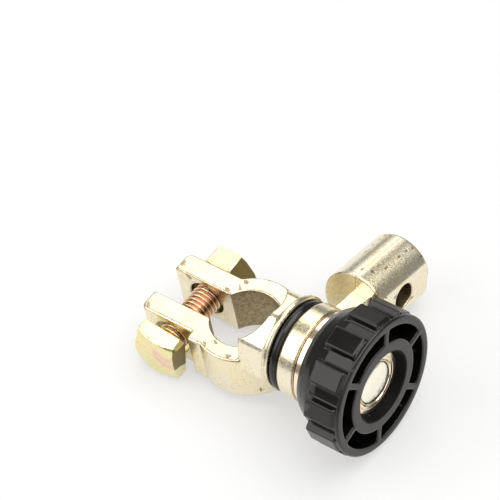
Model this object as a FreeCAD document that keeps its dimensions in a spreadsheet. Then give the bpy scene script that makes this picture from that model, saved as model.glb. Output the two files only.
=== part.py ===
import FreeCAD, Part
import os

import Sketcher
from FreeCAD import Placement, Rotation, Vector

# Battery disconnect switch for a top post: a split clamp with a threaded stud, a cable lug that
# swivels on an insulating sleeve, and a knob that presses its metal insert against the lug.
# Origin: the axis of the battery post, at the height of the stud's axis.
# X runs along the stud towards the knob, Y along the clamp bolt towards the lug, Z up the post.
# All sizes are millimetres and degrees.

os.makedirs("parts", exist_ok=True)
doc = FreeCAD.newDocument("battery_switch")

SIZES = {
    # Clamp ring and ears
    "post_bore_radius": 8.9,
    "ring_wall": 4.6,
    "ring_offset": 0.4,
    "plate_top": 0.4,
    "plate_thickness": 13.8,
    "slit_width": 8.5,
    "ear_thickness": 5.85,
    "ear_reach": 25.6,
    "ear_corner": 1.8,
    "edge_bevel": 0.35,
    "shoulder_gap": 1.2,
    "shoulder_length": 3.9,
    "shoulder_height": 2.3,
    "shoulder_bevel": 0.6,
    # Clamp bolt and nut
    "bolt_reach": 16.8,
    "bolt_radius": 4.0,
    "bolt_length": 30.0,
    "bolt_point": 0.7,
    "ear_hole_radius": 5.0,
    "head_side": 12.4,
    "head_thickness": 4.8,
    "head_roll": 10.0,
    "head_standoff": 2.5,
    "head_bevel": 1.5,
    "nut_flats": 13.0,
    "nut_thickness": 6.0,
    "nut_bevel": 0.55,
    # Eight sided neck, flange and stud
    "neck_radius": 12.2,
    "neck_turn": 11.0,
    "neck_mouth_radius": 11.7,
    "neck_start": 6.2,
    "neck_end": 14.1,
    "flange_radius": 12.7,
    "flange_thickness": 1.8,
    "flange_bevel": 0.5,
    "stud_radius": 6.0,
    "stud_seat_depth": 5.4,
    "stud_end": 39.4,
    "stud_dome": 1.3,
    # Insulation between the clamp and the lug
    "insulator_gap": 2.5,
    "sleeve_wall": 1.55,
    "seal_section_radius": 1.2,
    "seal_outer_radius": 12.1,
    # Cable lug
    "lug_drop": 13.0,
    "collar_radius": 12.45,
    "collar_length": 5.3,
    "collar_bevel": 0.8,
    "arm_height": 11.2,
    "barrel_start": 20.9,
    "barrel_length": 20.1,
    "barrel_radius": 9.2,
    "barrel_setback": 3.0,
    "barrel_flat": 1.2,
    "barrel_bevel": 0.6,
    "cable_hole_radius": 3.4,
    "screw_radius": 3.0,
    "screw_length": 6.2,
    "screw_recess": 0.3,
    "socket_flats": 3.0,
    "socket_depth": 3.0,
    # Knob and its metal insert
    "insert_flange_radius": 12.2,
    "insert_flange_thickness": 2.0,
    "insert_radius": 8.5,
    "insert_length": 16.0,
    "knob_radius": 18.75,
    "knob_length": 16.3,
    "knob_turn": 12.5,
    "skirt_radius": 13.2,
    "skirt_length": 7.8,
    "grip_depth": 1.25,
    "rim_width": 1.0,
    "rim_bevel": 0.35,
    "pad_width": 6.35,
    "pad_length": 9.3,
    "pad_gap": 0.15,
    "pad_rise": 0.2,
    "pad_root": 1.1,
    "pad_draft": 10.0,
    "hub_wall": 3.25,
    "grip_wall": 1.05,
    "window_depth": 9.5,
    "spoke_width": 1.8,
    "recess_radius": 9.35,
    # Fits
    "running_clearance": 0.04,
    "face_gap": 0.1,
    # How far a cutting outline runs past what it cuts
    "overrun": 1.0,
}
PAD_COUNT = 12
SPOKE_COUNT = 6
NECK_SIDES = 8
SKIRT_STEPS = 4
SKIRT_BEND = 0.62
DOME_STEPS = 3
SEAL_STEPS = 8
LEAST_CUT = 0.01
NEAR = 1e-6

sheet = doc.addObject("Spreadsheet::Sheet", "dims")
for row, (alias, size) in enumerate(SIZES.items(), start=1):
    sheet.set(f"A{row}", alias)
    sheet.set(f"B{row}", str(size))
    sheet.setAlias(f"B{row}", alias)
doc.recompute()

# Stations and radii that several pieces share, as expressions on the sheet
RING_RADIUS = "(dims.post_bore_radius + dims.ring_wall)"
PLATE_BOTTOM = "(dims.plate_top - dims.plate_thickness)"
EAR_OUTER = "(dims.slit_width / 2 + dims.ear_thickness)"
SHOULDER_ROOT = "(-dims.slit_width / 2 - dims.overrun)"
BOLT_HEIGHT = "(dims.plate_top - dims.plate_thickness / 2)"
HEAD_CORNER = "(dims.head_side / 2 / cos(45 deg))"
NUT_CORNER = "(dims.nut_flats / 2 / cos(30 deg))"
FLANGE_END = "(dims.neck_end + dims.flange_thickness)"
STUD_START = f"({FLANGE_END} - dims.stud_seat_depth)"
COLLAR_START = f"({FLANGE_END} + dims.insulator_gap)"
COLLAR_END = f"({COLLAR_START} + dims.collar_length)"
SLEEVE_BORE = "(dims.stud_radius + dims.running_clearance)"
SLEEVE_RADIUS = f"({SLEEVE_BORE} + dims.sleeve_wall)"
SEAL_RADIUS = "(dims.seal_outer_radius - dims.seal_section_radius)"
BARREL_END = "(dims.barrel_start + dims.barrel_length)"
BARREL_AXIS = f"(({COLLAR_START} + {COLLAR_END}) / 2 - dims.barrel_setback)"
BARREL_FLAT = f"({BARREL_AXIS} + dims.barrel_radius - dims.barrel_flat)"
CABLE_AXIS = f"((dims.barrel_start + {BARREL_END}) / 2)"
SCREW_END = f"({BARREL_END} - dims.screw_recess)"
INSERT_START = f"({COLLAR_END} + dims.face_gap)"
KNOB_START = f"({INSERT_START} + dims.insert_flange_thickness + dims.running_clearance)"
KNOB_END = f"({KNOB_START} + dims.knob_length)"
INSERT_END = f"({INSERT_START} + dims.insert_length)"
VALLEY_RADIUS = "(dims.knob_radius - dims.grip_depth)"
WINDOW_INNER = "(dims.recess_radius + dims.hub_wall)"
WINDOW_OUTER = f"({VALLEY_RADIUS} - dims.grip_wall)"
RIM_START = f"({KNOB_END} - dims.rim_width)"
PAD_END = f"({RIM_START} - dims.pad_gap)"


def value(text):
    """The number that an expression on the sheet gives."""
    result = sheet.evalExpression(text.replace("dims.", ""))
    return float(getattr(result, "Value", result))


def origin_feature(body, role):
    return next(item for item in body.Origin.OriginFeatures if item.Role == role)


def new_body(label):
    body = doc.addObject("PartDesign::Body", label)
    body.Label = label
    return body


def new_sketch(body, name, role, offset=None, turn=None):
    """A sketch on one of the body's own planes, moved along and turned about the plane's normal."""
    sketch = body.newObject("Sketcher::SketchObject", name)
    sketch.AttachmentSupport = [(origin_feature(body, role), "")]
    sketch.MapMode = "FlatFace"
    sketch.AttachmentOffset = Placement(Vector(0, 0, 0), Rotation(Vector(0, 0, 1), 0))
    if offset is not None:
        sketch.setExpression("AttachmentOffset.Base.z", offset)
    if turn is not None:
        sketch.setExpression("AttachmentOffset.Rotation.Angle", turn)
    return sketch


def bind(sketch, constraint, text):
    index = sketch.addConstraint(constraint)
    sketch.setExpression(f"Constraints[{index}]", text)


def pin(sketch, geometry, point, across, up):
    """Holds a point at two distances from the sketch's origin."""
    bind(sketch, Sketcher.Constraint("DistanceX", -1, 1, geometry, point, value(across)), across)
    bind(sketch, Sketcher.Constraint("DistanceY", -1, 1, geometry, point, value(up)), up)


def add_circle(sketch, radius, across="0", up="0"):
    centre = Vector(value(across), value(up), 0)
    circle = sketch.addGeometry(Part.Circle(centre, Vector(0, 0, 1), value(radius)), False)
    pin(sketch, circle, 3, across, up)
    bind(sketch, Sketcher.Constraint("Radius", circle, value(radius)), radius)


def add_outline(sketch, corners):
    """A closed outline of straight edges through the corners, each pinned to the sheet."""
    places = [Vector(value(across), value(up), 0) for across, up in corners]
    count = len(places)
    edges = []
    for index in range(count):
        segment = Part.LineSegment(places[index], places[(index + 1) % count])
        edges.append(sketch.addGeometry(segment, False))
    for index in range(count):
        following = edges[(index + 1) % count]
        sketch.addConstraint(Sketcher.Constraint("Coincident", edges[index], 2, following, 1))
    for edge, (across, up) in zip(edges, corners):
        pin(sketch, edge, 1, across, up)
    return edges


def add_rectangle(sketch, left, right, bottom, top):
    return add_outline(sketch, [(left, bottom), (right, bottom), (right, top), (left, top)])


def add_polygon(sketch, sides, radius, turn):
    """A regular polygon in a circle of the given radius, its first corner at the given angle."""
    centre = Vector(0, 0, 0)
    guide = sketch.addGeometry(Part.Circle(centre, Vector(0, 0, 1), value(radius)), True)
    sketch.addConstraint(Sketcher.Constraint("Coincident", guide, 3, -1, 1))
    bind(sketch, Sketcher.Constraint("Radius", guide, value(radius)), radius)
    spoke = Vector(value(radius), 0, 0)
    start = value(turn)
    corners = []
    for index in range(sides):
        step = Rotation(Vector(0, 0, 1), start + 360 * index / sides)
        corners.append(step.multVec(spoke))
    edges = []
    for index in range(sides):
        segment = Part.LineSegment(corners[index], corners[(index + 1) % sides])
        edges.append(sketch.addGeometry(segment, False))
    for index in range(sides):
        following = edges[(index + 1) % sides]
        sketch.addConstraint(Sketcher.Constraint("Coincident", edges[index], 2, following, 1))
        sketch.addConstraint(Sketcher.Constraint("PointOnObject", edges[index], 1, guide))
    for edge in edges[1:]:
        sketch.addConstraint(Sketcher.Constraint("Equal", edges[0], edge))
    first = f"({radius} * sin({turn} * 1 deg))"
    bind(sketch, Sketcher.Constraint("DistanceY", -1, 1, edges[0], 1, value(first)), first)


def add_pad(body, name, sketch, length, backwards=False, both_ways=False):
    pad = body.newObject("PartDesign::Pad", name)
    pad.Profile = sketch
    pad.setExpression("Length", length)
    pad.Reversed = backwards
    pad.Midplane = both_ways
    doc.recompute()
    return pad


def add_pocket(body, name, sketch, length=None, backwards=False, both_ways=False):
    """A cut that must take something away. Without a length it goes right through."""
    before = body.Shape.Volume
    pocket = body.newObject("PartDesign::Pocket", name)
    pocket.Profile = sketch
    pocket.Reversed = backwards
    pocket.Midplane = both_ways
    if length is None:
        pocket.Type = "ThroughAll"
    else:
        pocket.Type = "Length"
        pocket.setExpression("Length", length)
    doc.recompute()
    if pocket.Shape.Volume > before - LEAST_CUT:
        raise RuntimeError(f"{name} takes nothing away")
    return pocket


def add_revolution(body, name, sketch, axis="X_Axis"):
    turned = body.newObject("PartDesign::Revolution", name)
    turned.Profile = sketch
    turned.ReferenceAxis = (origin_feature(body, axis), [""])
    turned.Angle = 360
    doc.recompute()
    return turned


def add_groove(body, name, sketch, axis):
    before = body.Shape.Volume
    groove = body.newObject("PartDesign::Groove", name)
    groove.Profile = sketch
    groove.ReferenceAxis = (origin_feature(body, axis), [""])
    groove.Angle = 360
    doc.recompute()
    if groove.Shape.Volume > before - LEAST_CUT:
        raise RuntimeError(f"{name} takes nothing away")
    return groove


def add_ring_pattern(body, name, feature, count, axis="X_Axis"):
    pattern = body.newObject("PartDesign::PolarPattern", name)
    pattern.Originals = [feature]
    pattern.Axis = (origin_feature(body, axis), [""])
    pattern.Angle = 360
    pattern.Occurrences = count
    body.Tip = pattern
    doc.recompute()
    return pattern


def add_fillet(body, name, base, edges, radius):
    fillet = body.newObject("PartDesign::Fillet", name)
    fillet.Base = (base, edges)
    fillet.setExpression("Radius", radius)
    doc.recompute()
    return fillet


def add_chamfer(body, name, base, edges, size):
    chamfer = body.newObject("PartDesign::Chamfer", name)
    chamfer.Base = (base, edges)
    chamfer.setExpression("Size", size)
    doc.recompute()
    return chamfer


def edges_where(shape, test):
    """Names of the edges that pass a test."""
    return [f"Edge{index}" for index, edge in enumerate(shape.Edges, start=1) if test(edge)]


def is_upright(edge):
    box = edge.BoundBox
    return box.XLength < NEAR and box.YLength < NEAR


def is_level(edge, heights):
    box = edge.BoundBox
    return box.ZLength < NEAR and min(abs(box.ZMin - height) for height in heights) < NEAR


def turned_piece(label, corners):
    """A round piece on the X axis, from its half section as (station, radius) corners."""
    body = new_body(label)
    section = new_sketch(body, f"{label}_section", "XY_Plane")
    add_outline(section, corners)
    add_revolution(body, f"{label}_turned", section)
    return body


def make_clamp():
    """The casting round the post: split ring, two ears, eight sided neck and flange."""
    body = new_body("clamp_body")
    ears = new_sketch(body, "ears_plan", "XY_Plane", PLATE_BOTTOM)
    add_rectangle(ears, "-dims.ear_reach", "0", f"-{EAR_OUTER}", EAR_OUTER)
    ears_pad = add_pad(body, "ears", ears, "dims.plate_thickness")
    ear_end = -value("dims.ear_reach")
    corners = edges_where(
        ears_pad.Shape, lambda edge: is_upright(edge) and abs(edge.BoundBox.XMin - ear_end) < NEAR
    )
    add_fillet(body, "ear_corners", ears_pad, corners, "dims.ear_corner")

    ring = new_sketch(body, "ring_plan", "XY_Plane", PLATE_BOTTOM)
    add_circle(ring, RING_RADIUS, "dims.ring_offset")
    add_pad(body, "ring", ring, "dims.plate_thickness")

    # The shoulder on the near side stops the square head from turning
    shoulder = new_sketch(body, "shoulder_plan", "XY_Plane", PLATE_BOTTOM)
    start = "(dims.head_side / 2 + dims.shoulder_gap - dims.bolt_reach)"
    end = f"({start} + dims.shoulder_length)"
    face = f"(-{EAR_OUTER} - dims.shoulder_height)"
    add_outline(
        shoulder,
        [
            (start, SHOULDER_ROOT),
            (start, f"({face} + dims.shoulder_bevel)"),
            (f"({start} + dims.shoulder_bevel)", face),
            (end, face),
            (end, SHOULDER_ROOT),
        ],
    )
    plate = add_pad(body, "shoulder", shoulder, "dims.plate_thickness")

    levels = (value("dims.plate_top"), value(PLATE_BOTTOM))
    rims = edges_where(plate.Shape, lambda edge: is_level(edge, levels))
    add_chamfer(body, "plate_rims", plate, rims, "dims.edge_bevel")

    neck = new_sketch(body, "neck_section", "YZ_Plane", "dims.neck_start")
    add_polygon(neck, NECK_SIDES, "dims.neck_radius", "dims.neck_turn")
    add_pad(body, "neck", neck, "dims.neck_end - dims.neck_start")
    mouth = new_sketch(body, "mouth_plan", "XY_Plane", "dims.plate_top")
    add_circle(mouth, "dims.neck_mouth_radius")
    add_pocket(body, "mouth", mouth, backwards=True)

    flange = new_sketch(body, "flange_section", "XY_Plane")
    add_outline(
        flange,
        [
            ("dims.neck_end", "0"),
            ("dims.neck_end", "dims.flange_radius - dims.flange_bevel"),
            ("dims.neck_end + dims.flange_bevel", "dims.flange_radius"),
            (f"{FLANGE_END} - dims.flange_bevel", "dims.flange_radius"),
            (FLANGE_END, "dims.flange_radius - dims.flange_bevel"),
            (FLANGE_END, "0"),
        ],
    )
    add_revolution(body, "flange", flange)

    bore = new_sketch(body, "bore_plan", "XY_Plane", "dims.plate_top")
    add_circle(bore, "dims.post_bore_radius")
    add_pocket(body, "post_bore", bore, both_ways=True)
    slit = new_sketch(body, "slit_plan", "XY_Plane", "dims.plate_top")
    slit_end = "(-dims.ear_reach - dims.overrun)"
    add_rectangle(slit, slit_end, "0", "-dims.slit_width / 2", "dims.slit_width / 2")
    add_pocket(body, "slit", slit, both_ways=True)
    holes = new_sketch(body, "ear_holes_plan", "XZ_Plane")
    add_circle(holes, "dims.ear_hole_radius", "-dims.bolt_reach", BOLT_HEIGHT)
    add_pocket(body, "ear_holes", holes, both_ways=True)
    seat = new_sketch(body, "stud_seat_plan", "YZ_Plane", FLANGE_END)
    add_circle(seat, SLEEVE_BORE)
    add_pocket(body, "stud_seat", seat, "dims.stud_seat_depth + dims.running_clearance")
    return body


def make_stud():
    """The stud that is fixed in the neck, with a domed end that shows in the knob."""
    corners = [(STUD_START, "0"), (STUD_START, "dims.stud_radius")]
    for step in range(DOME_STEPS, -1, -1):
        share = step / DOME_STEPS
        station = f"(dims.stud_end + dims.stud_dome * {1 - share ** 2})"
        corners.append((station, f"(dims.stud_radius * {share})"))
    return turned_piece("center_stud", corners)


def make_sleeve():
    """The insulating bush: a tube in the lug's collar with a foot against the flange."""
    foot = f"({SEAL_RADIUS} - dims.seal_section_radius - dims.face_gap)"
    foot_end = f"({COLLAR_START} - dims.face_gap)"
    tube_end = f"({COLLAR_END} - 2 * dims.face_gap)"
    return turned_piece(
        "insulating_sleeve",
        [
            (FLANGE_END, SLEEVE_BORE),
            (FLANGE_END, foot),
            (foot_end, foot),
            (foot_end, SLEEVE_RADIUS),
            (tube_end, SLEEVE_RADIUS),
            (tube_end, SLEEVE_BORE),
        ],
    )


def make_seal():
    """The round black ring between the flange and the lug's collar."""
    middle = f"({FLANGE_END} + dims.seal_section_radius)"
    corners = []
    for step in range(SEAL_STEPS):
        angle = f"({360 * step / SEAL_STEPS} * 1 deg)"
        station = f"({middle} + dims.seal_section_radius * cos({angle}))"
        corners.append((station, f"({SEAL_RADIUS} + dims.seal_section_radius * sin({angle}))"))
    return turned_piece("sealing_ring", corners)


def drop_with_lug(body):
    """Turns a piece of the lug about the stud, so that the barrel hangs below level."""
    body.Placement = Placement(Vector(0, 0, 0), Rotation(Vector(1, 0, 0), -1))
    body.setExpression("Placement.Rotation.Angle", "-dims.lug_drop")


def make_lug():
    """The cable lug: collar on the sleeve, flat arm and round barrel with one flat side."""
    body = new_body("cable_lug")
    section = new_sketch(body, "collar_section", "XY_Plane")
    add_outline(
        section,
        [
            (COLLAR_START, "0"),
            (COLLAR_START, "dims.collar_radius - dims.collar_bevel"),
            (f"({COLLAR_START} + dims.collar_bevel)", "dims.collar_radius"),
            (COLLAR_END, "dims.collar_radius"),
            (COLLAR_END, "0"),
        ],
    )
    add_revolution(body, "collar", section)
    arm = new_sketch(body, "arm_plan", "XY_Plane")
    add_rectangle(arm, COLLAR_START, COLLAR_END, "0", "dims.barrel_start + dims.barrel_radius / 2")
    add_pad(body, "arm", arm, "dims.arm_height", both_ways=True)
    barrel = new_sketch(body, "barrel_section", "XZ_Plane", "-dims.barrel_start")
    add_circle(barrel, "dims.barrel_radius", BARREL_AXIS)
    barrel_pad = add_pad(body, "barrel", barrel, "dims.barrel_length", backwards=True)
    far = value(BARREL_END)
    rim = edges_where(
        barrel_pad.Shape,
        lambda edge: abs(edge.BoundBox.YMin - far) < NEAR and edge.BoundBox.YLength < NEAR,
    )
    add_chamfer(body, "barrel_rim", barrel_pad, rim, "dims.barrel_bevel")
    flat = new_sketch(body, "flat_plan", "YZ_Plane", BARREL_FLAT)
    add_rectangle(
        flat,
        "dims.barrel_start - dims.overrun",
        f"{BARREL_END} + dims.overrun",
        "-dims.barrel_radius",
        "dims.barrel_radius",
    )
    add_pocket(body, "barrel_flat_side", flat, backwards=True)
    bore = new_sketch(body, "collar_bore_plan", "YZ_Plane", COLLAR_END)
    add_circle(bore, f"{SLEEVE_RADIUS} + dims.running_clearance")
    add_pocket(body, "collar_bore", bore, "dims.collar_length")
    cable = new_sketch(body, "cable_hole_plan", "YZ_Plane", BARREL_FLAT)
    add_circle(cable, "dims.cable_hole_radius", CABLE_AXIS)
    add_pocket(body, "cable_hole", cable)
    screw = new_sketch(body, "screw_hole_plan", "XZ_Plane", f"-{BARREL_END}")
    add_circle(screw, "dims.screw_radius", BARREL_AXIS)
    add_pocket(body, "screw_hole", screw, f"({BARREL_END} - {CABLE_AXIS})", backwards=True)
    drop_with_lug(body)
    return body


def make_set_screw():
    """The headless screw in the barrel's far end, which clamps the cable."""
    body = new_body("set_screw")
    rod = new_sketch(body, "screw_plan", "XZ_Plane", f"-{SCREW_END}")
    add_circle(rod, "dims.screw_radius - dims.running_clearance", BARREL_AXIS)
    add_pad(body, "screw_rod", rod, "dims.screw_length")
    socket = new_sketch(body, "socket_plan", "XZ_Plane", f"-{SCREW_END}")
    socket.setExpression("AttachmentOffset.Base.x", BARREL_AXIS)
    add_polygon(socket, 6, "(dims.socket_flats / 2 / cos(30 deg))", "0")
    add_pocket(body, "hex_socket", socket, "dims.socket_depth", backwards=True)
    drop_with_lug(body)
    return body


def make_insert():
    """The metal insert: a flange that presses on the lug and a threaded tube in the knob."""
    flange_end = f"({INSERT_START} + dims.insert_flange_thickness)"
    return turned_piece(
        "knob_insert",
        [
            (INSERT_START, SLEEVE_BORE),
            (INSERT_START, "dims.insert_flange_radius"),
            (flange_end, "dims.insert_flange_radius"),
            (flange_end, "dims.insert_radius"),
            (INSERT_END, "dims.insert_radius"),
            (INSERT_END, SLEEVE_BORE),
        ],
    )


def make_knob():
    """The moulded knob: curved skirt, grip pads, rim, windows, spokes and central recess."""
    body = new_body("knob")
    section = new_sketch(body, "knob_section", "XY_Plane")
    bore = "(dims.insert_radius + dims.running_clearance)"
    skirt_rise = f"({VALLEY_RADIUS} - dims.skirt_radius)"
    corners = []
    for step in range(SKIRT_STEPS + 1):
        share = (step / SKIRT_STEPS) ** 2
        station = f"({KNOB_START} + dims.skirt_length * {share:.4f})"
        radius = f"(dims.skirt_radius + {skirt_rise} * {share ** SKIRT_BEND:.4f})"
        corners.append((station, radius))
    corners += [
        (RIM_START, VALLEY_RADIUS),
        (RIM_START, "dims.knob_radius"),
        (f"({KNOB_END} - dims.rim_bevel)", "dims.knob_radius"),
        (KNOB_END, "(dims.knob_radius - dims.rim_bevel)"),
        (KNOB_END, "dims.recess_radius"),
        (INSERT_END, bore),
        (KNOB_START, bore),
    ]
    add_outline(section, corners)
    add_revolution(body, "knob_turned", section)

    pad = new_sketch(body, "grip_pad_plan", "XY_Plane", f"{VALLEY_RADIUS} - dims.pad_root")
    add_rectangle(
        pad, f"{PAD_END} - dims.pad_length", PAD_END, "-dims.pad_width / 2", "dims.pad_width / 2"
    )
    pad_height = "dims.pad_root + dims.grip_depth + dims.pad_rise"
    raised = add_pad(body, "grip_pad", pad, pad_height)
    raised.setExpression("TaperAngle", "-dims.pad_draft")
    doc.recompute()
    add_ring_pattern(body, "grip_pads", raised, PAD_COUNT)

    windows = new_sketch(body, "window_plan", "YZ_Plane", KNOB_END)
    add_circle(windows, WINDOW_INNER)
    add_circle(windows, WINDOW_OUTER)
    add_pocket(body, "window_ring", windows, "dims.window_depth")
    spoke = new_sketch(body, "spoke_plan", "YZ_Plane", KNOB_END)
    add_rectangle(
        spoke,
        f"({WINDOW_INNER} + dims.recess_radius) / 2",
        f"({WINDOW_OUTER} + {VALLEY_RADIUS}) / 2",
        "-dims.spoke_width / 2",
        "dims.spoke_width / 2",
    )
    rib = add_pad(body, "spoke", spoke, "dims.window_depth", backwards=True)
    add_ring_pattern(body, "spokes", rib, SPOKE_COUNT)
    body.Placement = Placement(Vector(0, 0, 0), Rotation(Vector(1, 0, 0), 1))
    body.setExpression("Placement.Rotation.Angle", "dims.knob_turn")
    return body


def add_bevel(body, name, radius, bevel, station, inwards):
    """Cuts a cone off the corners of a head or nut that lies along Z."""
    section = new_sketch(body, f"{name}_section", "XZ_Plane")
    slope = "tan(30 deg)"
    deep = f"({station} + {inwards} * {bevel})"
    outer = f"({radius} + dims.overrun)"
    inner = f"({radius} - {bevel} / {slope})"
    beyond = f"({station} - {inwards} * {bevel})"
    start = f"({station} + {inwards} * ({bevel} + {slope} * dims.overrun))"
    add_outline(section, [(inner, station), (outer, start), (outer, beyond), (inner, beyond)])
    return add_groove(body, name, section, "Z_Axis")


def make_bolt():
    """The clamp bolt: square head with bevelled corners and a long shank."""
    body = new_body("clamp_bolt")
    head = new_sketch(body, "head_plan", "XY_Plane", turn="dims.head_roll")
    add_rectangle(
        head, "-dims.head_side / 2", "dims.head_side / 2", "-dims.head_side / 2", "dims.head_side / 2"
    )
    add_pad(body, "head", head, "dims.head_thickness", backwards=True)
    add_bevel(body, "head_corners", HEAD_CORNER, "dims.head_bevel", "(-dims.head_thickness)", "1")
    shank = new_sketch(body, "shank_section", "XZ_Plane")
    add_outline(
        shank,
        [
            ("0", "-dims.head_thickness / 2"),
            ("dims.bolt_radius", "-dims.head_thickness / 2"),
            ("dims.bolt_radius", "dims.bolt_length - dims.bolt_point"),
            ("dims.bolt_radius - dims.bolt_point", "dims.bolt_length"),
            ("0", "dims.bolt_length"),
        ],
    )
    add_revolution(body, "shank", shank, "Z_Axis")
    lay_along_bolt(body, f"(-{EAR_OUTER} - dims.head_standoff)")
    return body


def lay_along_bolt(body, station):
    """Lays a piece that was made along Z on the bolt's axis, with its foot at a station in Y."""
    body.Placement = Placement(Vector(0, 0, 0), Rotation(Vector(1, 0, 0), -90))
    body.setExpression("Placement.Base.x", "-dims.bolt_reach")
    body.setExpression("Placement.Base.y", station)
    body.setExpression("Placement.Base.z", BOLT_HEIGHT)


def make_nut():
    """The hexagon nut on the far ear, one flat upwards."""
    body = new_body("clamp_nut")
    plan = new_sketch(body, "nut_plan", "XY_Plane")
    add_polygon(plan, 6, NUT_CORNER, "0")
    add_pad(body, "nut_block", plan, "dims.nut_thickness")
    add_bevel(body, "outer_corners", NUT_CORNER, "dims.nut_bevel", "dims.nut_thickness", "(-1)")
    add_bevel(body, "inner_corners", NUT_CORNER, "dims.nut_bevel", "0", "1")
    bore = new_sketch(body, "nut_bore_plan", "XY_Plane", "dims.nut_thickness")
    add_circle(bore, "dims.bolt_radius + dims.running_clearance")
    add_pocket(body, "nut_bore", bore)
    lay_along_bolt(body, f"({EAR_OUTER} + dims.face_gap)")
    return body


pieces = [
    make_clamp(),
    make_stud(),
    make_sleeve(),
    make_seal(),
    make_lug(),
    make_set_screw(),
    make_insert(),
    make_knob(),
    make_bolt(),
    make_nut(),
]
doc.recompute()

for item in doc.Objects:
    if "Invalid" in item.State or "Error" in item.State:
        raise RuntimeError(f"{item.Name} did not build: {item.State}")
for piece in pieces:
    shape = piece.Shape
    if shape.isNull() or not shape.isValid() or len(shape.Solids) != 1:
        raise RuntimeError(f"{piece.Label} is not one valid solid")
for piece in pieces:
    piece.Shape.exportStep(f"parts/{piece.Label}.step")
    box = piece.Shape.BoundBox
    print(
        f"{piece.Label}: volume {piece.Shape.Volume:.1f}, "
        f"x {box.XMin:.2f} {box.XMax:.2f}, y {box.YMin:.2f} {box.YMax:.2f}, "
        f"z {box.ZMin:.2f} {box.ZMax:.2f}"
    )
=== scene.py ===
import math

import bmesh
import bpy
from mathutils import Matrix, Vector


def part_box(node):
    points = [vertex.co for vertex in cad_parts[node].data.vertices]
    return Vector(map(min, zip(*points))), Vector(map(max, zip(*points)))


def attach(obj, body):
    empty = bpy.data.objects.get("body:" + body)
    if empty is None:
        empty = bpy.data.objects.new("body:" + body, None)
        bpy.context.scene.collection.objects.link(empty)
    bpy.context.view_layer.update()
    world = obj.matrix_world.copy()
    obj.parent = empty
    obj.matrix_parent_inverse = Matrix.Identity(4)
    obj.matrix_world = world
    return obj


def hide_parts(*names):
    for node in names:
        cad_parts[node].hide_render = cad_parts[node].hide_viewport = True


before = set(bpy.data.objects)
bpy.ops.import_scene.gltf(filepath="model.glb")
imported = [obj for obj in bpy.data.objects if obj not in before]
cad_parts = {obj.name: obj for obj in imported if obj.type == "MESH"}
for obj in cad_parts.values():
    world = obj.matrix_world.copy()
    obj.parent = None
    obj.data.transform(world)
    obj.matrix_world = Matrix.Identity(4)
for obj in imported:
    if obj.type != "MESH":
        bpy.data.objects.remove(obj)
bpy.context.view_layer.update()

scene = bpy.context.scene
MM = 0.001
FULL_TURN = 2.0 * math.pi

# Places on the switch, in millimetres. The stud and the knob lie on the X axis, the post on Z.
# A reach is a distance from an axis within which the surface belongs to a bore or a recess.
BOLT_AXIS = (-16.8, -6.5)
BOLT_HEAD_END = -12.6
CABLE_HOLE = (30.157, -6.962)
BARREL_START = 21.2
PARTING_X = 18.23
PARTING_HALF_WIDTH = 0.09
PARTING_STRENGTH = 0.6
POST_BORE_REACH = 9.02
CABLE_HOLE_REACH = 3.44
KNOB_RECESS_REACH = 9.7
STUD_RADIUS = 6.0

# The camera, at the photograph's viewing angle.
CAMERA_LENS = 236.2
CAMERA_PLACE = Vector((386.736, -359.488, 617.229)) * MM
CAMERA_RIGHT = Vector((0.790704, 0.594129, -0.147641))
CAMERA_UP = Vector((-0.375993, 0.661613, 0.648766))
CAMERA_BACK = Vector((0.483131, -0.457470, 0.746529))


def add_camera():
    data = bpy.data.cameras.new("camera")
    data.sensor_fit = "HORIZONTAL"
    data.sensor_width = 36.0
    data.lens = CAMERA_LENS
    data.clip_start = 0.05
    data.clip_end = 20.0
    camera = bpy.data.objects.new("camera", data)
    scene.collection.objects.link(camera)
    turn = Matrix((CAMERA_RIGHT, CAMERA_UP, CAMERA_BACK)).transposed().to_4x4()
    camera.matrix_world = Matrix.Translation(CAMERA_PLACE) @ turn
    scene.camera = camera


# Sockets of the colour mixing node by number, because their names repeat.
MIX_FACTOR = 0
MIX_FIRST = 6
MIX_SECOND = 7
MIX_RESULT = 2


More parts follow.
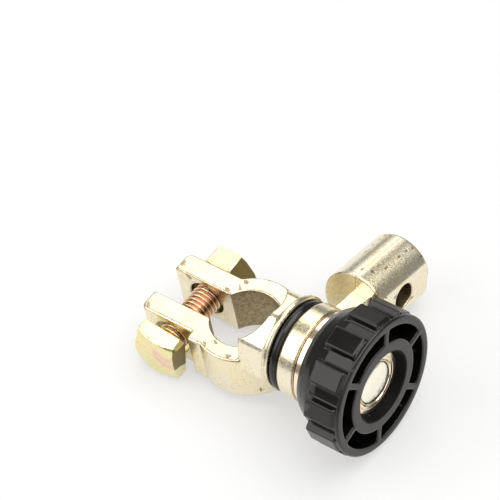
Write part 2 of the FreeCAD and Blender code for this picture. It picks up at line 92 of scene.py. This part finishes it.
class Nodes:
    """One procedural material and the nodes that feed its shader."""

    def __init__(self, name):
        self.material = bpy.data.materials.new(name)
        self.material.use_nodes = True
        self.tree = self.material.node_tree
        self.shader = next(n for n in self.tree.nodes if n.type == "BSDF_PRINCIPLED")
        self.place = self.tree.nodes.new("ShaderNodeTexCoord").outputs["Object"]

    def feed(self, socket, given):
        """Links a socket where another one is given, and otherwise sets its value."""
        if isinstance(given, bpy.types.NodeSocket):
            self.tree.links.new(given, socket)
        else:
            socket.default_value = given

    def set(self, name, given):
        self.feed(self.shader.inputs[name], given)

    def noise(self, scale, detail=3.0, rough=0.55, distort=0.0):
        node = self.tree.nodes.new("ShaderNodeTexNoise")
        self.feed(node.inputs["Vector"], self.place)
        node.inputs["Scale"].default_value = scale
        node.inputs["Detail"].default_value = detail
        node.inputs["Roughness"].default_value = rough
        node.inputs["Distortion"].default_value = distort
        return node.outputs["Fac"]

    def ramp(self, fac, *stops):
        """A ramp through stops, each a position and either a grey level or a colour."""
        node = self.tree.nodes.new("ShaderNodeValToRGB")
        self.feed(node.inputs["Fac"], fac)
        elements = node.color_ramp.elements
        while len(elements) < len(stops):
            elements.new(0.5)
        for element, (position, colour) in zip(elements, stops):
            element.position = position
            if isinstance(colour, (int, float)):
                colour = (colour, colour, colour)
            element.color = (*colour, 1.0)
        return node.outputs["Color"]

    def mix(self, fac, first, second):
        node = self.tree.nodes.new("ShaderNodeMix")
        node.data_type = "RGBA"
        self.feed(node.inputs[MIX_FACTOR], fac)
        for index, given in ((MIX_FIRST, first), (MIX_SECOND, second)):
            if isinstance(given, tuple):
                given = (*given, 1.0)
            self.feed(node.inputs[index], given)
        return node.outputs[MIX_RESULT]

    def math(self, operation, *given):
        node = self.tree.nodes.new("ShaderNodeMath")
        node.operation = operation
        for socket, value in zip(node.inputs, given):
            self.feed(socket, value)
        return node.outputs[0]

    def vector(self, operation, *given):
        node = self.tree.nodes.new("ShaderNodeVectorMath")
        node.operation = operation
        for socket, value in zip(node.inputs, given):
            self.feed(socket, value)
        return node.outputs["Value"] if operation == "DISTANCE" else node.outputs["Vector"]

    def from_axis(self, along, centre):
        """Distance in metres from an axis along X, Y or Z that passes through centre, in millimetres."""
        keep = tuple(0.0 if name == along else 1.0 for name in "XYZ")
        flat = self.vector("MULTIPLY", self.place, keep)
        return self.vector("DISTANCE", flat, tuple(value * MM for value in centre))

    def coordinate(self, name):
        """The X, Y or Z of the place on the piece, in metres."""
        node = self.tree.nodes.new("ShaderNodeSeparateXYZ")
        self.feed(node.inputs[0], self.place)
        return node.outputs[name]

    def pointiness(self):
        """Over a half on outer edges and under a half in inner corners."""
        return self.tree.nodes.new("ShaderNodeNewGeometry").outputs["Pointiness"]

    def bump(self, *layers):
        """Fine relief in layers, each a height, its distance in millimetres and its strength."""
        normal = None
        for height, distance, strength in layers:
            node = self.tree.nodes.new("ShaderNodeBump")
            node.inputs["Strength"].default_value = strength
            node.inputs["Distance"].default_value = distance * MM
            self.feed(node.inputs["Height"], height)
            if normal is not None:
                self.feed(node.inputs["Normal"], normal)
            normal = node.outputs["Normal"]
        self.feed(self.shader.inputs["Normal"], normal)


def casting():
    """Cast metal under thin pale gold plating; the bores for post and cable are rougher, and painted
    shade makes them darker and browner.
    """
    n = Nodes("plated_casting")
    cloud = n.noise(120.0, 4.0, 0.6)
    grain = n.noise(2100.0, 3.0, 0.65)
    fleck = n.noise(1500.0, 4.0, 0.8, distort=0.4)
    stain = n.noise(330.0, 5.0, 0.7, distort=0.8)
    scratch = n.noise(1300.0, 4.0, 0.75, distort=0.4)
    # the plating, with stained flecks, outer edges darkened by wear and by a painted dark reflection,
    # and painted shade in the inner corners
    clean = n.mix(n.ramp(cloud, (0.38, 0.0), (0.62, 1.0)), (0.92, 0.81, 0.54), (0.90, 0.83, 0.65))
    flecked = n.ramp(fleck, (0.54, 0.0), (0.68, 1.0))
    dark = n.math("MULTIPLY", flecked, n.ramp(stain, (0.40, 0.1), (0.60, 0.75)))
    plated = n.mix(dark, clean, (0.38, 0.29, 0.16))
    # outer edges darkened in flecks: partly wear, partly a painted dark reflection
    edge = n.ramp(n.pointiness(), (0.512, 0.0), (0.545, 1.0))
    edge_wear_and_reflection = n.math("MULTIPLY", edge, n.ramp(fleck, (0.34, 0.4), (0.54, 1.0)))
    plated = n.mix(edge_wear_and_reflection, plated, (0.33, 0.23, 0.13))
    # painted shade in the inner corners
    painted_crease_shade = n.ramp(n.pointiness(), (0.42, 0.85), (0.475, 0.0))
    plated = n.mix(painted_crease_shade, plated, (0.24, 0.17, 0.09))
    # the line where the two halves of the mould met, along the barrel
    beside = n.math("SUBTRACT", n.coordinate("X"), PARTING_X * MM)
    line = n.math("LESS_THAN", n.math("ABSOLUTE", beside), PARTING_HALF_WIDTH * MM)
    barrel = n.math("GREATER_THAN", n.coordinate("Y"), BARREL_START * MM)
    line = n.math("MULTIPLY", n.math("MULTIPLY", line, barrel), PARTING_STRENGTH)
    plated = n.mix(line, plated, (0.26, 0.19, 0.11))
    # painted shade in the bores for post and cable, which are rougher too
    post = n.math("LESS_THAN", n.from_axis("Z", (0.0, 0.0, 0.0)), POST_BORE_REACH * MM)
    cable = n.math("LESS_THAN", n.from_axis("X", (0.0, *CABLE_HOLE)), CABLE_HOLE_REACH * MM)
    bore = n.math("MAXIMUM", post, cable)
    painted_bore_shade = n.mix(n.ramp(scratch, (0.38, 0.0), (0.62, 1.0)), (0.24, 0.18, 0.10), (0.47, 0.385, 0.235))
    n.set("Base Color", n.mix(bore, plated, painted_bore_shade))
    n.set("Metallic", 1.0)
    rough = n.ramp(grain, (0.30, 0.15), (0.75, 0.32))
    n.set("Roughness", n.mix(bore, rough, (0.42, 0.42, 0.42)))
    n.bump((cloud, 0.15, 0.25), (fleck, 0.06, 0.5), (grain, 0.04, 0.55))
    return n.material


# The stud's painted dark reflection starts below its axis, a little more to the far side.
DARK_REFLECTION_LEAN = 0.35
DARK_REFLECTION_PER_MM = 0.2


def stud_metal():
    """The stud's turned end: the same pale gold plating, with a painted dark reflection in patches along
    its lower edge.
    """
    n = Nodes("plated_stud")
    grain = n.noise(1100.0, 3.0, 0.65)
    patches = n.noise(520.0, 4.0, 0.7, distort=0.8)
    below = n.math("MULTIPLY", n.coordinate("Z"), -1.0)
    down = n.math("MULTIPLY_ADD", n.coordinate("Y"), DARK_REFLECTION_LEAN, below)
    low = n.ramp(n.math("MULTIPLY", down, DARK_REFLECTION_PER_MM / MM), (0.16, 0.0), (0.42, 0.85))
    # a painted dark reflection in patches, towards the lower side
    painted_dark_reflection = n.math("MULTIPLY", n.ramp(patches, (0.44, 0.0), (0.60, 1.0)), low)
    clean = n.mix(n.ramp(grain, (0.3, 0.0), (0.7, 1.0)), (0.99, 0.95, 0.80), (0.97, 0.92, 0.76))
    n.set("Base Color", n.mix(painted_dark_reflection, clean, (0.34, 0.28, 0.18)))
    n.set("Metallic", 1.0)
    n.set("Roughness", n.ramp(grain, (0.3, 0.16), (0.7, 0.26)))
    n.bump((patches, 0.05, 0.25), (grain, 0.01, 0.2))
    return n.material


def insert_metal():
    """Turned brass with a pinkish cast and a few darker stains."""
    n = Nodes("insert_brass")
    grain = n.noise(1400.0, 2.0, 0.5)
    stain = n.noise(260.0, 4.0, 0.65)
    clean = n.mix(grain, (1.0, 0.86, 0.66), (0.98, 0.82, 0.62))
    n.set("Base Color", n.mix(n.ramp(stain, (0.60, 0.0), (0.80, 0.3)), clean, (0.55, 0.36, 0.22)))
    n.set("Metallic", 1.0)
    n.set("Roughness", n.ramp(grain, (0.3, 0.13), (0.7, 0.20)))
    n.bump((grain, 0.01, 0.1))
    return n.material


# Marks on bolt and nut, in millimetres: how deep the thread's dark roots reach, the stretch of the
# shank that has them, and where the rougher side with painted shade starts, which leans a little along
# the bolt.
THREAD_ROOT_REACH = 3.75
SHANK_MIDDLE = 2.0
SHANK_HALF_LENGTH = 14.5
DULL_SHADED_SIDE_X = -11.85
DULL_SHADED_SIDE_LEAN = 0.073
DULL_SHADED_SIDE_FRAY = 0.5


def yellow_zinc():
    """Yellow passivated zinc that shifts to pink and green, rougher and darkened by painted shade on one
    side, and dark in the thread.
    """
    n = Nodes("yellow_zinc")
    tint = n.noise(75.0, 1.5, 0.5, distort=0.9)
    grain = n.noise(1300.0, 3.0, 0.6)
    colour = n.ramp(
        tint,
        (0.34, (0.84, 0.82, 0.48)),
        (0.44, (0.90, 0.80, 0.42)),
        (0.52, (0.92, 0.76, 0.44)),
        (0.56, (0.88, 0.56, 0.48)),
        (0.61, (0.90, 0.78, 0.43)),
        (0.68, (0.66, 0.78, 0.55)),
    )
    dark = n.ramp(grain, (0.58, 0.0), (0.80, 0.4))
    colour = n.mix(dark, colour, (0.36, 0.29, 0.12))
    depth = n.from_axis("Y", (BOLT_AXIS[0], 0.0, BOLT_AXIS[1]))
    root = n.math("LESS_THAN", depth, THREAD_ROOT_REACH * MM)
    along = n.math("ABSOLUTE", n.math("SUBTRACT", n.coordinate("Y"), SHANK_MIDDLE * MM))
    shank = n.math("LESS_THAN", along, SHANK_HALF_LENGTH * MM)
    colour = n.mix(n.math("MULTIPLY", root, shank), colour, (0.50, 0.27, 0.17))
    # one side is rougher, and painted shade darkens it
    side = n.math("MULTIPLY_ADD", n.coordinate("Y"), DULL_SHADED_SIDE_LEAN, n.coordinate("X"))
    side = n.math("MULTIPLY_ADD", grain, DULL_SHADED_SIDE_FRAY * MM, side)
    dull_shaded_side = n.math("GREATER_THAN", side, DULL_SHADED_SIDE_X * MM)
    n.set("Base Color", n.mix(dull_shaded_side, colour, (0.24, 0.19, 0.08)))
    n.set("Metallic", 1.0)
    rough = n.ramp(grain, (0.3, 0.16), (0.75, 0.32))
    n.set("Roughness", n.mix(dull_shaded_side, rough, (0.45, 0.45, 0.45)))
    n.bump((grain, 0.04, 0.3))
    return n.material


KNOB_SHEEN = 0.46
RECESS_SHEEN = 0.10


def knob_plastic():
    """Black moulded nylon, satin, with a painted highlight making its edges a little paler, and its
    recess matt.
    """
    n = Nodes("knob_plastic")
    grain = n.noise(2600.0, 2.0, 0.5)
    cloud = n.noise(140.0, 3.0, 0.6)
    body = n.mix(cloud, (0.0025, 0.0025, 0.0025), (0.005, 0.0045, 0.004))
    # painted highlight on the outer edges
    edge_highlight = n.ramp(n.pointiness(), (0.52, 0.0), (0.58, 0.8))
    n.set("Base Color", n.mix(edge_highlight, body, (0.05, 0.048, 0.045)))
    matt = n.math("LESS_THAN", n.from_axis("X", (0.0, 0.0, 0.0)), KNOB_RECESS_REACH * MM)
    n.set("Roughness", n.mix(matt, n.ramp(cloud, (0.3, 0.17), (0.7, 0.25)), (0.6, 0.6, 0.6)))
    n.set("Specular IOR Level", n.math("MULTIPLY_ADD", matt, RECESS_SHEEN - KNOB_SHEEN, KNOB_SHEEN))
    n.set("Specular Tint", (1.0, 0.95, 0.90, 1.0))
    n.bump((cloud, 0.15, 0.15), (grain, 0.02, 0.3))
    return n.material


def seal_rubber():
    """Smooth black rubber with a slight gloss."""
    n = Nodes("seal_rubber")
    cloud = n.noise(500.0, 3.0, 0.6)
    n.set("Base Color", n.mix(cloud, (0.003, 0.003, 0.003), (0.006, 0.006, 0.006)))
    n.set("Roughness", n.ramp(cloud, (0.3, 0.14), (0.7, 0.26)))
    n.bump((cloud, 0.05, 0.3))
    return n.material


def insulator():
    """Plain dark moulded plastic."""
    n = Nodes("insulator")
    cloud = n.noise(400.0, 3.0, 0.6)
    n.set("Base Color", n.mix(cloud, (0.03, 0.03, 0.03), (0.05, 0.05, 0.05)))
    n.set("Roughness", n.ramp(cloud, (0.3, 0.45), (0.7, 0.55)))
    n.bump((cloud, 0.04, 0.3))
    return n.material


def screw_steel():
    """Dark blackened steel."""
    n = Nodes("screw_steel")
    grain = n.noise(1200.0, 3.0, 0.6)
    n.set("Base Color", n.mix(grain, (0.16, 0.16, 0.17), (0.26, 0.26, 0.27)))
    n.set("Metallic", 1.0)
    n.set("Roughness", n.ramp(grain, (0.3, 0.3), (0.7, 0.45)))
    n.bump((grain, 0.04, 0.4))
    return n.material


def floor_material():
    """A pale sheet with a light of its own, so that shadows on it stay faint."""
    n = Nodes("floor")
    cloud = n.noise(3.0, 2.0, 0.5)
    n.set("Base Color", n.mix(cloud, (0.31, 0.31, 0.31), (0.34, 0.34, 0.34)))
    n.set("Roughness", 0.8)
    n.set("Specular IOR Level", 0.0)
    n.set("Emission Color", (1.0, 0.995, 0.985, 1.0))
    n.set("Emission Strength", 0.52)
    return n.material


FINISHES = {
    "plated_casting": casting,
    "plated_stud": stud_metal,
    "insert_brass": insert_metal,
    "yellow_zinc": yellow_zinc,
    "knob_plastic": knob_plastic,
    "seal_rubber": seal_rubber,
    "insulator": insulator,
    "screw_steel": screw_steel,
}
# Nodes that keep their solid as it is and only get a material.
KEPT_NODES = {
    "insulating_sleeve": "insulator",
    "set_screw": "screw_steel",
}


def paint_nodes():
    """Gives the carried over nodes their finish."""
    for node, finish in KEPT_NODES.items():
        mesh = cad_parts[node].data
        mesh.materials.clear()
        mesh.materials.append(FINISHES[finish]())


def place_mesh(mesh, name, node, body, finish):
    """Links a mesh as the piece that stands for a node, rides on its body and has its finish."""
    piece = bpy.data.objects.new(name, mesh)
    scene.collection.objects.link(piece)
    mesh.materials.clear()
    mesh.materials.append(FINISHES[finish]())
    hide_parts(node)
    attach(piece, body)


def to_mesh(made, name):
    """Closes a mesh under construction and gives it as a mesh with a name."""
    mesh = bpy.data.meshes.new(name)
    made.normal_update()
    made.to_mesh(mesh)
    made.free()
    return mesh


def box_mm(node):
    """The low and high corner of a node's solid, in millimetres."""
    low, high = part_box(node)
    return low / MM, high / MM


def modified(mesh, *modifiers):
    """The mesh after the given modifiers, each a kind and its settings."""
    holder = bpy.data.objects.new("holder", mesh)
    scene.collection.objects.link(holder)
    for kind, settings in modifiers:
        modifier = holder.modifiers.new(kind.lower(), kind)
        for name, given in settings.items():
            setattr(modifier, name, given)
    graph = bpy.context.evaluated_depsgraph_get()
    result = bpy.data.meshes.new_from_object(holder.evaluated_get(graph))
    bpy.data.objects.remove(holder)
    return result


# Rounding of the solids. Edges over UNCHAMFERED are bare corners; those between SHARP and
# UNCHAMFERED border a chamfer that the solid has already, and take a narrow width only.
WELD = 0.002
FLAT = math.radians(0.5)
SHARP = math.radians(28.0)
UNCHAMFERED = math.radians(65.0)
CHAMFERED_WIDTH = 0.1


def welded(node):
    """A node's solid as one closed mesh."""
    made = bmesh.new()
    made.from_mesh(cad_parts[node].data)
    bmesh.ops.remove_doubles(made, verts=made.verts, dist=WELD * MM)
    return made


def rounded(made, name, width, soft=None, soft_width=1.3):
    """Rounds the sharp edges by a width, and those that soft picks by a wider one."""
    bmesh.ops.dissolve_limit(made, angle_limit=FLAT, verts=made.verts, edges=made.edges)
    weight = made.edges.layers.float.new("bevel_weight_edge")
    for edge in made.edges:
        angle = edge.calc_face_angle(0.0)
        if angle > SHARP:
            used = width if angle > UNCHAMFERED else CHAMFERED_WIDTH
            edge[weight] = 1.0 if soft and soft(edge) else used / soft_width
    settings = {
        "width": soft_width * MM,
        "segments": 3,
        "limit_method": "WEIGHT",
        "use_clamp_overlap": False,
        "miter_outer": "MITER_ARC",
    }
    return modified(to_mesh(made, name), ("BEVEL", settings))


def reskinned(mesh, cell, smoothing, kept=0.55):
    """The mesh as one closed skin of even small faces, which heals whatever the rounding crossed."""
    result = modified(
        mesh,
        ("REMESH", {"mode": "VOXEL", "voxel_size": cell * MM, "adaptivity": 0.0}),
        ("SMOOTH", {"factor": 0.5, "iterations": smoothing}),
        ("DECIMATE", {"ratio": kept}),
    )
    result.shade_smooth()
    return result


def rounded_piece(node, name, body, finish, width, cell, soft=None):
    """A solid's own shape with its edges rounded."""
    mesh = reskinned(rounded(welded(node), name, width, soft), cell, smoothing=3)
    place_mesh(mesh, name, node, body, finish)


# The long edges of the clamp's eight sided neck: where the neck starts, how far from the axis its
# ridges lie, and how straight along X they run.
NECK_START = 5.0
RIDGE_REACH = 11.9
RIDGE_ALONG = 0.98


def neck_ridge(edge):
    """True for the upper long edges of the neck."""
    first, last = (vertex.co / MM for vertex in edge.verts)
    middle = (first + last) / 2.0
    away = math.hypot(middle.y, middle.z)
    if middle.x < NECK_START or middle.z < 0.0 or away < RIDGE_REACH:
        return False
    return abs(first.x - last.x) > RIDGE_ALONG * (first - last).length


ROUNDED_PIECES = (
    # node, piece, body, finish, edge width and mesh cell in millimetres, and which edges are softer
    ("clamp_body", "clamp_casting", "clamp", "plated_casting", 0.3, 0.22, neck_ridge),
    ("cable_lug", "lug_casting", "lug", "plated_casting", 0.3, 0.21, None),
    ("clamp_nut", "nut", "nut", "yellow_zinc", 0.2, 0.14, None),
    ("knob", "knob_moulding", "knob", "knob_plastic", 0.25, 0.25, None),
)

# The bolt, in millimetres: an M8 thread of rows (share of the pitch, height from root to crest),
# the radius and slope of its chamfered end, how far head and shank reach into each other, and
# where the head's crowned front starts, with the most that an edge round it may lean.
PITCH = 1.25
THREAD_ROWS = ((0.0, 0.0), (0.30, 1.0), (0.46, 1.0), (0.76, 0.0))
THREAD_STEPS = 40
THREAD_WELD = 0.004
CREST = 4.0
ROOT = 3.32
SHANK_CHAMFER = 0.75
SHANK_END_RADIUS = ROOT - 0.1
HEAD_STUB = 0.2
SHANK_IN_HEAD = 0.5
HEAD_FRONT = -15.0
HEAD_FRONT_LEAN = 0.7
HEAD_EDGE = 0.2
HEAD_FRONT_EDGE = 0.5
BOLT_CELL = 0.14


def head_front(edge):
    """True for the edges round the crowned front of the bolt's head."""
    first, last = (vertex.co / MM for vertex in edge.verts)
    if max(first.y, last.y) >= HEAD_FRONT:
        return False
    return abs(first.y - last.y) < HEAD_FRONT_LEAN * (first - last).length


def add_thread(made, start, end, axis):
    """Adds a threaded shank along +Y: rows of vertices that follow the helix, cut flat at the ends."""
    rows = []
    first_turn = math.floor(start / PITCH) - 1
    last_turn = math.ceil(end / PITCH) + 1
    for turn in range(first_turn, last_turn):
        for phase, lift in THREAD_ROWS:
            row = []
            for step in range(THREAD_STEPS + 1):
                share = step / THREAD_STEPS
                y = (turn + phase + share) * PITCH
                y = min(max(y, start), end)
                radius = ROOT + (CREST - ROOT) * lift
                radius = min(radius, SHANK_END_RADIUS + SHANK_CHAMFER * (end - y))
                angle = FULL_TURN * share
                x = axis[0] + radius * math.sin(angle)
                z = axis[1] + radius * math.cos(angle)
                row.append(made.verts.new((x * MM, y * MM, z * MM)))
            rows.append(row)
    for lower, upper in zip(rows, rows[1:]):
        for step in range(THREAD_STEPS):
            made.faces.new((lower[step], lower[step + 1], upper[step + 1], upper[step]))
    vertices = [vertex for row in rows for vertex in row]
    bmesh.ops.remove_doubles(made, verts=vertices, dist=THREAD_WELD * MM)


def close_holes(made):
    """Fills each open outline with a face."""
    bmesh.ops.holes_fill(made, edges=[edge for edge in made.edges if edge.is_boundary])


def add_bolt():
    """The square headed bolt, its head from the solid and its shank with a real thread."""
    node = "clamp_bolt"
    made = welded(node)
    bmesh.ops.bisect_plane(
        made,
        geom=made.verts[:] + made.edges[:] + made.faces[:],
        plane_co=(0.0, (BOLT_HEAD_END + HEAD_STUB) * MM, 0.0),
        plane_no=(0.0, 1.0, 0.0),
        clear_outer=True,
    )
    close_holes(made)
    head = rounded(made, "bolt", HEAD_EDGE, head_front, HEAD_FRONT_EDGE)
    head = reskinned(head, BOLT_CELL, smoothing=5, kept=1.0)
    shank_end = box_mm(node)[1].y
    made = bmesh.new()
    add_thread(made, BOLT_HEAD_END - SHANK_IN_HEAD, shank_end, BOLT_AXIS)
    close_holes(made)
    bmesh.ops.recalc_face_normals(made, faces=made.faces)
    made.from_mesh(head)
    mesh = reskinned(to_mesh(made, "bolt"), BOLT_CELL, smoothing=1)
    place_mesh(mesh, "bolt", node, "bolt", "yellow_zinc")


# Turned pieces.
LATHE_STEPS = 96
LATHE_SHARP = math.radians(35.0)


def shade(made, sharp):
    """Smooth shading, but for edges sharper than an angle."""
    for face in made.faces:
        face.smooth = True
    for edge in made.edges:
        edge.smooth = edge.calc_face_angle(0.0) < sharp


def lathe(name, profile, sharp=LATHE_SHARP):
    """A closed shape turned about the switch's axis from its (x, radius) outline in millimetres."""
    made = bmesh.new()
    rings = []
    for x, radius in profile:
        if radius == 0.0:
            rings.append([made.verts.new((x * MM, 0.0, 0.0))])
            continue
        ring = []
        for step in range(LATHE_STEPS):
            angle = FULL_TURN * step / LATHE_STEPS
            side = (x * MM, radius * math.sin(angle) * MM, radius * math.cos(angle) * MM)
            ring.append(made.verts.new(side))
        rings.append(ring)
    for first, second in zip(rings, rings[1:] + rings[:1]):
        for step in range(LATHE_STEPS):
            after = (step + 1) % LATHE_STEPS
            corners = [
                first[step % len(first)],
                second[step % len(second)],
                second[after % len(second)],
                first[after % len(first)],
            ]
            # a ring that is one point gives its corner twice
            corners = list(dict.fromkeys(corners))
            if len(corners) > 2:
                made.faces.new(corners)
    bmesh.ops.recalc_face_normals(made, faces=made.faces)
    shade(made, sharp)
    return to_mesh(made, name)


SEAL_SECTION_STEPS = 24


def add_seal():
    """The round rubber ring between the clamp's flange and the lug."""
    low, high = box_mm("sealing_ring")
    section = (high.x - low.x) / 2.0
    middle = (high.x + low.x) / 2.0
    centre_radius = high.y - section
    outline = []
    for step in range(SEAL_SECTION_STEPS):
        angle = FULL_TURN * step / SEAL_SECTION_STEPS
        x = middle + section * math.cos(angle)
        outline.append((x, centre_radius + section * math.sin(angle)))
    mesh = lathe("seal", outline, sharp=math.pi)
    place_mesh(mesh, "seal", "sealing_ring", "clamp", "seal_rubber")


# The stud's end: how far below its top each point of the dome lies, and its radius.
STUD_DOME = (
    (0.0, 0.0),
    (0.03, 1.4),
    (0.14, 2.8),
    (0.34, 4.1),
    (0.62, 5.1),
    (0.95, 5.7),
    (1.3, 5.93),
    (1.6, STUD_RADIUS),
)


def add_stud():
    """The stud, its end a low dome with a rounded rim."""
    low, high = box_mm("center_stud")
    dome = [(high.x - drop, radius) for drop, radius in STUD_DOME]
    mesh = lathe("stud", dome + [(low.x, STUD_RADIUS), (low.x, 0.0)])
    place_mesh(mesh, "stud", "center_stud", "clamp", "plated_stud")


# The insert, in millimetres. Its end is given as its depth below the top and its radius, from the
# outer chamfer over the bright rim to the bore's chamfer.
INSERT_BORE = STUD_RADIUS + 0.04
FLANGE_THICKNESS = 2.0
FLANGE_RADIUS = 12.2
FLANGE_EDGE = 0.35
FLANGE_FRONT_EDGE = 0.4
INSERT_RADIUS = 8.5
INSERT_END = (
    (0.25, INSERT_RADIUS),
    (0.0, 8.25),
    (0.0, 7.1),
    (0.08, 7.0),
    (0.08, 6.35),
    (0.5, INSERT_BORE),
)


def add_insert():
    """The brass insert: a flange between lug and knob, and a ring round the stud's end."""
    low, high = box_mm("knob_insert")
    flange_end = low.x + FLANGE_THICKNESS
    flange = [
        (low.x, INSERT_BORE),
        (low.x, FLANGE_RADIUS - FLANGE_FRONT_EDGE),
        (low.x + FLANGE_EDGE, FLANGE_RADIUS),
        (flange_end - FLANGE_EDGE, FLANGE_RADIUS),
        (flange_end, FLANGE_RADIUS - FLANGE_EDGE),
        (flange_end, INSERT_RADIUS),
    ]
    end = [(high.x - depth, radius) for depth, radius in INSERT_END]
    mesh = lathe("insert", flange + end)
    place_mesh(mesh, "insert", "knob_insert", "insert", "insert_brass")


# The floor: a sheet under the knob's rim, leaning so that knob, clamp and lug all lie on it.
FLOOR_POINT = Vector((32.14, 1.44, -19.09)) * MM
FLOOR_UP = Vector((0.0969, 0.0105, 0.9952))
FLOOR_HALF = 0.22


def add_floor():
    mesh = bpy.data.meshes.new("floor")
    half = FLOOR_HALF
    corners = [(-half, -half, 0), (half, -half, 0), (half, half, 0), (-half, half, 0)]
    mesh.from_pydata(corners, [], [(0, 1, 2, 3)])
    floor = bpy.data.objects.new("floor", mesh)
    scene.collection.objects.link(floor)
    turn = FLOOR_UP.to_track_quat("Z", "Y").to_matrix().to_4x4()
    floor.matrix_world = Matrix.Translation(FLOOR_POINT) @ turn
    mesh.materials.append(floor_material())


SOFT_BOXES = (
    # bearing, height and half width in degrees, then brightness
    (131.0, 38.0, 19.0, 1.8),
    (224.0, 43.0, 27.0, 2.5),
    (38.0, 68.0, 33.0, 3.2),
    (322.0, 28.0, 24.0, 1.2),
)
BOX_EDGE = 3.0
ROOM_LEVEL = 0.26


def bearing(azimuth, elevation):
    """The direction of a bearing from +X towards +Y and a height, both in degrees."""
    turn, rise = math.radians(azimuth), math.radians(elevation)
    flat = math.cos(rise)
    return Vector((flat * math.cos(turn), flat * math.sin(turn), math.sin(rise)))


def brighter(tree, first, second):
    """The greater of two light levels, the second a socket or a number."""
    node = tree.nodes.new("ShaderNodeMath")
    node.operation = "MAXIMUM"
    tree.links.new(first, node.inputs[0])
    if isinstance(second, bpy.types.NodeSocket):
        tree.links.new(second, node.inputs[1])
    else:
        node.inputs[1].default_value = second
    return node.outputs[0]


def soft_box(tree, direction, azimuth, elevation, half, level):
    """A round light in the world with a soft edge."""
    facing = tree.nodes.new("ShaderNodeVectorMath")
    facing.operation = "DOT_PRODUCT"
    tree.links.new(direction, facing.inputs[0])
    facing.inputs[1].default_value = bearing(azimuth, elevation)
    glow = tree.nodes.new("ShaderNodeMapRange")
    glow.interpolation_type = "SMOOTHSTEP"
    tree.links.new(facing.outputs["Value"], glow.inputs["Value"])
    glow.inputs["From Min"].default_value = math.cos(math.radians(half + BOX_EDGE))
    glow.inputs["From Max"].default_value = math.cos(math.radians(half - BOX_EDGE))
    glow.inputs["To Max"].default_value = level
    return glow.outputs["Result"]


def add_light():
    """A dim room with four large round soft boxes, so that the metal has light and dark to show."""
    world = bpy.data.worlds.new("world")
    scene.world = world
    world.use_nodes = True
    tree = world.node_tree
    background = next(n for n in tree.nodes if n.type == "BACKGROUND")
    direction = tree.nodes.new("ShaderNodeTexCoord").outputs["Generated"]
    glows = [soft_box(tree, direction, *box) for box in SOFT_BOXES]
    total = glows[0]
    for glow in glows[1:]:
        total = brighter(tree, total, glow)
    total = brighter(tree, total, ROOM_LEVEL)
    tree.links.new(total, background.inputs["Color"])
    background.inputs["Strength"].default_value = 1.0
    scene.view_settings.view_transform = "Standard"


add_camera()
paint_nodes()
for row in ROUNDED_PIECES:
    rounded_piece(*row)
add_bolt()
add_seal()
add_stud()
add_insert()
add_floor()
add_light()
